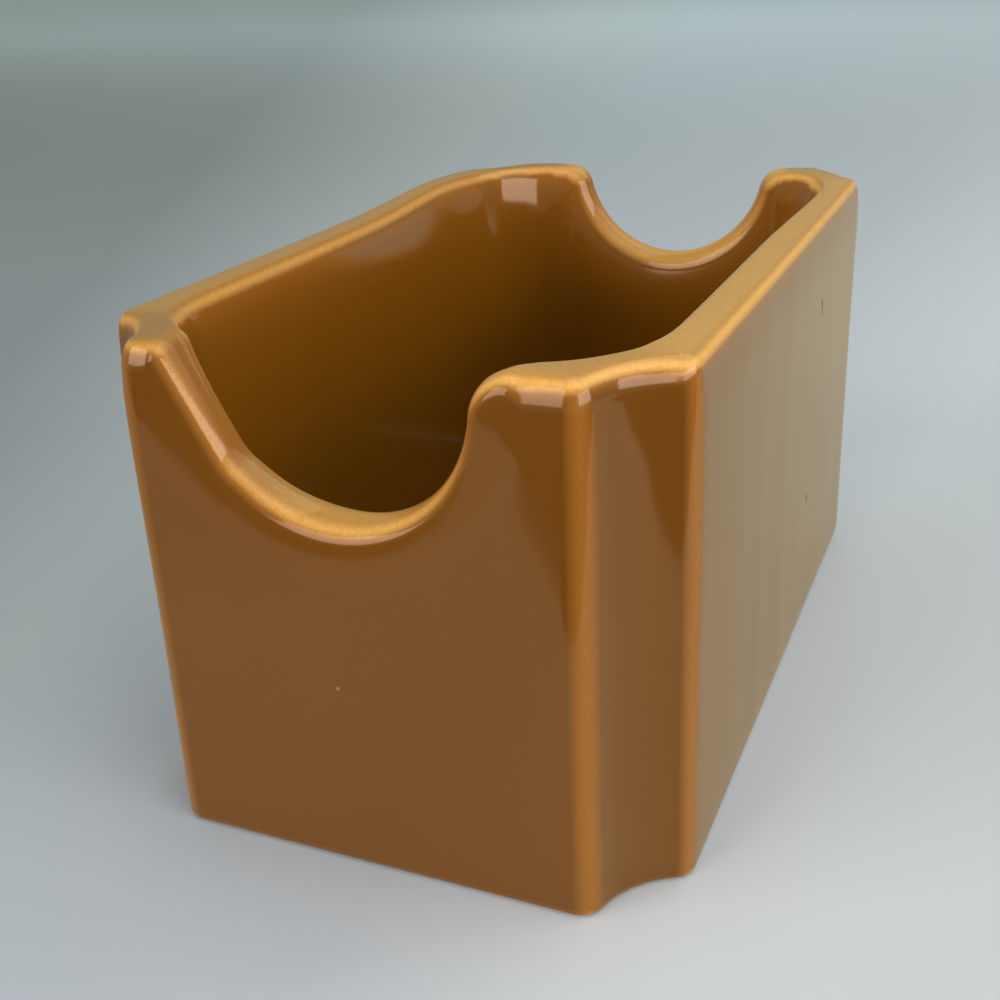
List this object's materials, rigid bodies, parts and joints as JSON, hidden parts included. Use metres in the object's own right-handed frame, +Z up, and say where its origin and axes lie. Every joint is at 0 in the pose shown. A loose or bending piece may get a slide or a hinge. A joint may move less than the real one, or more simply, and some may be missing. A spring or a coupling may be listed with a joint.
{
  "type": "sugar packet holder",
  "caption": "Open oblong holder for standing sugar packets in caramel glazed china, with a finger scoop in each end wall and shallow coves drawn into its corners.",
  "frame": {"origin": "on the table, under the middle of the box", "axes": "+Z up, +Y along the length away from the more deeply scooped front end, +X to the right seen from that end"},
  "size_m": [0.059, 0.102, 0.052],
  "materials": {
    "bare_clay": "fired vitreous clay, fine and matt, bare only at the foot ring",
    "caramel_glaze": "glossy translucent caramel glaze, thinner and lighter on the rim and the corner ridges",
    "underside_glaze": "the same glaze, a little darker where it pools under the floor"
  },
  "bodies": {
    "root": {"clay_body": "bare_clay", "glaze_coat": "caramel_glaze", "underside_glaze": "underside_glaze"}
  },
  "joints": []
}
